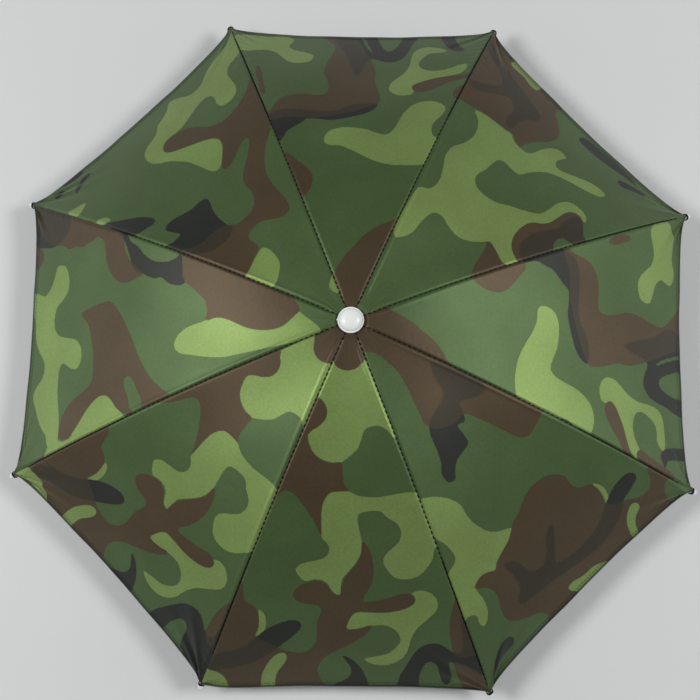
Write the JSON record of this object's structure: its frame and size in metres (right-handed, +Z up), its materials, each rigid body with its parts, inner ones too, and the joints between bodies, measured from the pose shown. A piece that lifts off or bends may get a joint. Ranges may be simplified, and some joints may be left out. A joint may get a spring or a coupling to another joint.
{
  "type": "umbrella hat",
  "caption": "Hands-free sun and rain hat: a wire-ribbed dome canopy of printed cloth gores with a round top cap, carried on an elastic headband by bent arms.",
  "frame": {"origin": "on the hat's vertical axis, in the plane of the headband's lower edge, on which the hat rests", "axes": "+Z up through the cap, -Y towards the wearer's forehead, +X towards the wearer's left ear"},
  "size_m": [0.6152, 0.6152, 0.1554],
  "materials": {
    "canopy_cloth": "woven polyester with a woodland camouflage print, faint satin sheen",
    "white_plastic": "glossy moulded white plastic",
    "rib_steel": "plated spring wire",
    "black_plastic": "satin moulded black plastic",
    "band_elastic": "ribbed woven black elastic"
  },
  "bodies": {
    "root": {"gore_1": "canopy_cloth", "gore_2": "canopy_cloth", "gore_3": "canopy_cloth", "gore_4": "canopy_cloth", "gore_5": "canopy_cloth", "gore_6": "canopy_cloth", "gore_7": "canopy_cloth", "gore_8": "canopy_cloth", "rib_1": "rib_steel", "rib_2": "rib_steel", "rib_3": "rib_steel", "rib_4": "rib_steel", "rib_5": "rib_steel", "rib_6": "rib_steel", "rib_7": "rib_steel", "rib_8": "rib_steel", "rib_tip_1": "white_plastic", "rib_tip_2": "white_plastic", "rib_tip_3": "white_plastic", "rib_tip_4": "white_plastic", "rib_tip_5": "white_plastic", "rib_tip_6": "white_plastic", "rib_tip_7": "white_plastic", "rib_tip_8": "white_plastic", "stretcher_1": "rib_steel", "stretcher_2": "rib_steel", "stretcher_3": "rib_steel", "stretcher_4": "rib_steel", "stretcher_5": "rib_steel", "stretcher_6": "rib_steel", "stretcher_7": "rib_steel", "stretcher_8": "rib_steel", "band_arm_1": "black_plastic", "band_arm_2": "black_plastic", "band_arm_3": "black_plastic", "band_arm_4": "black_plastic", "cap": "white_plastic", "top_notch": "white_plastic", "shaft": "rib_steel", "runner": "white_plastic", "headband": "band_elastic"}
  },
  "joints": []
}
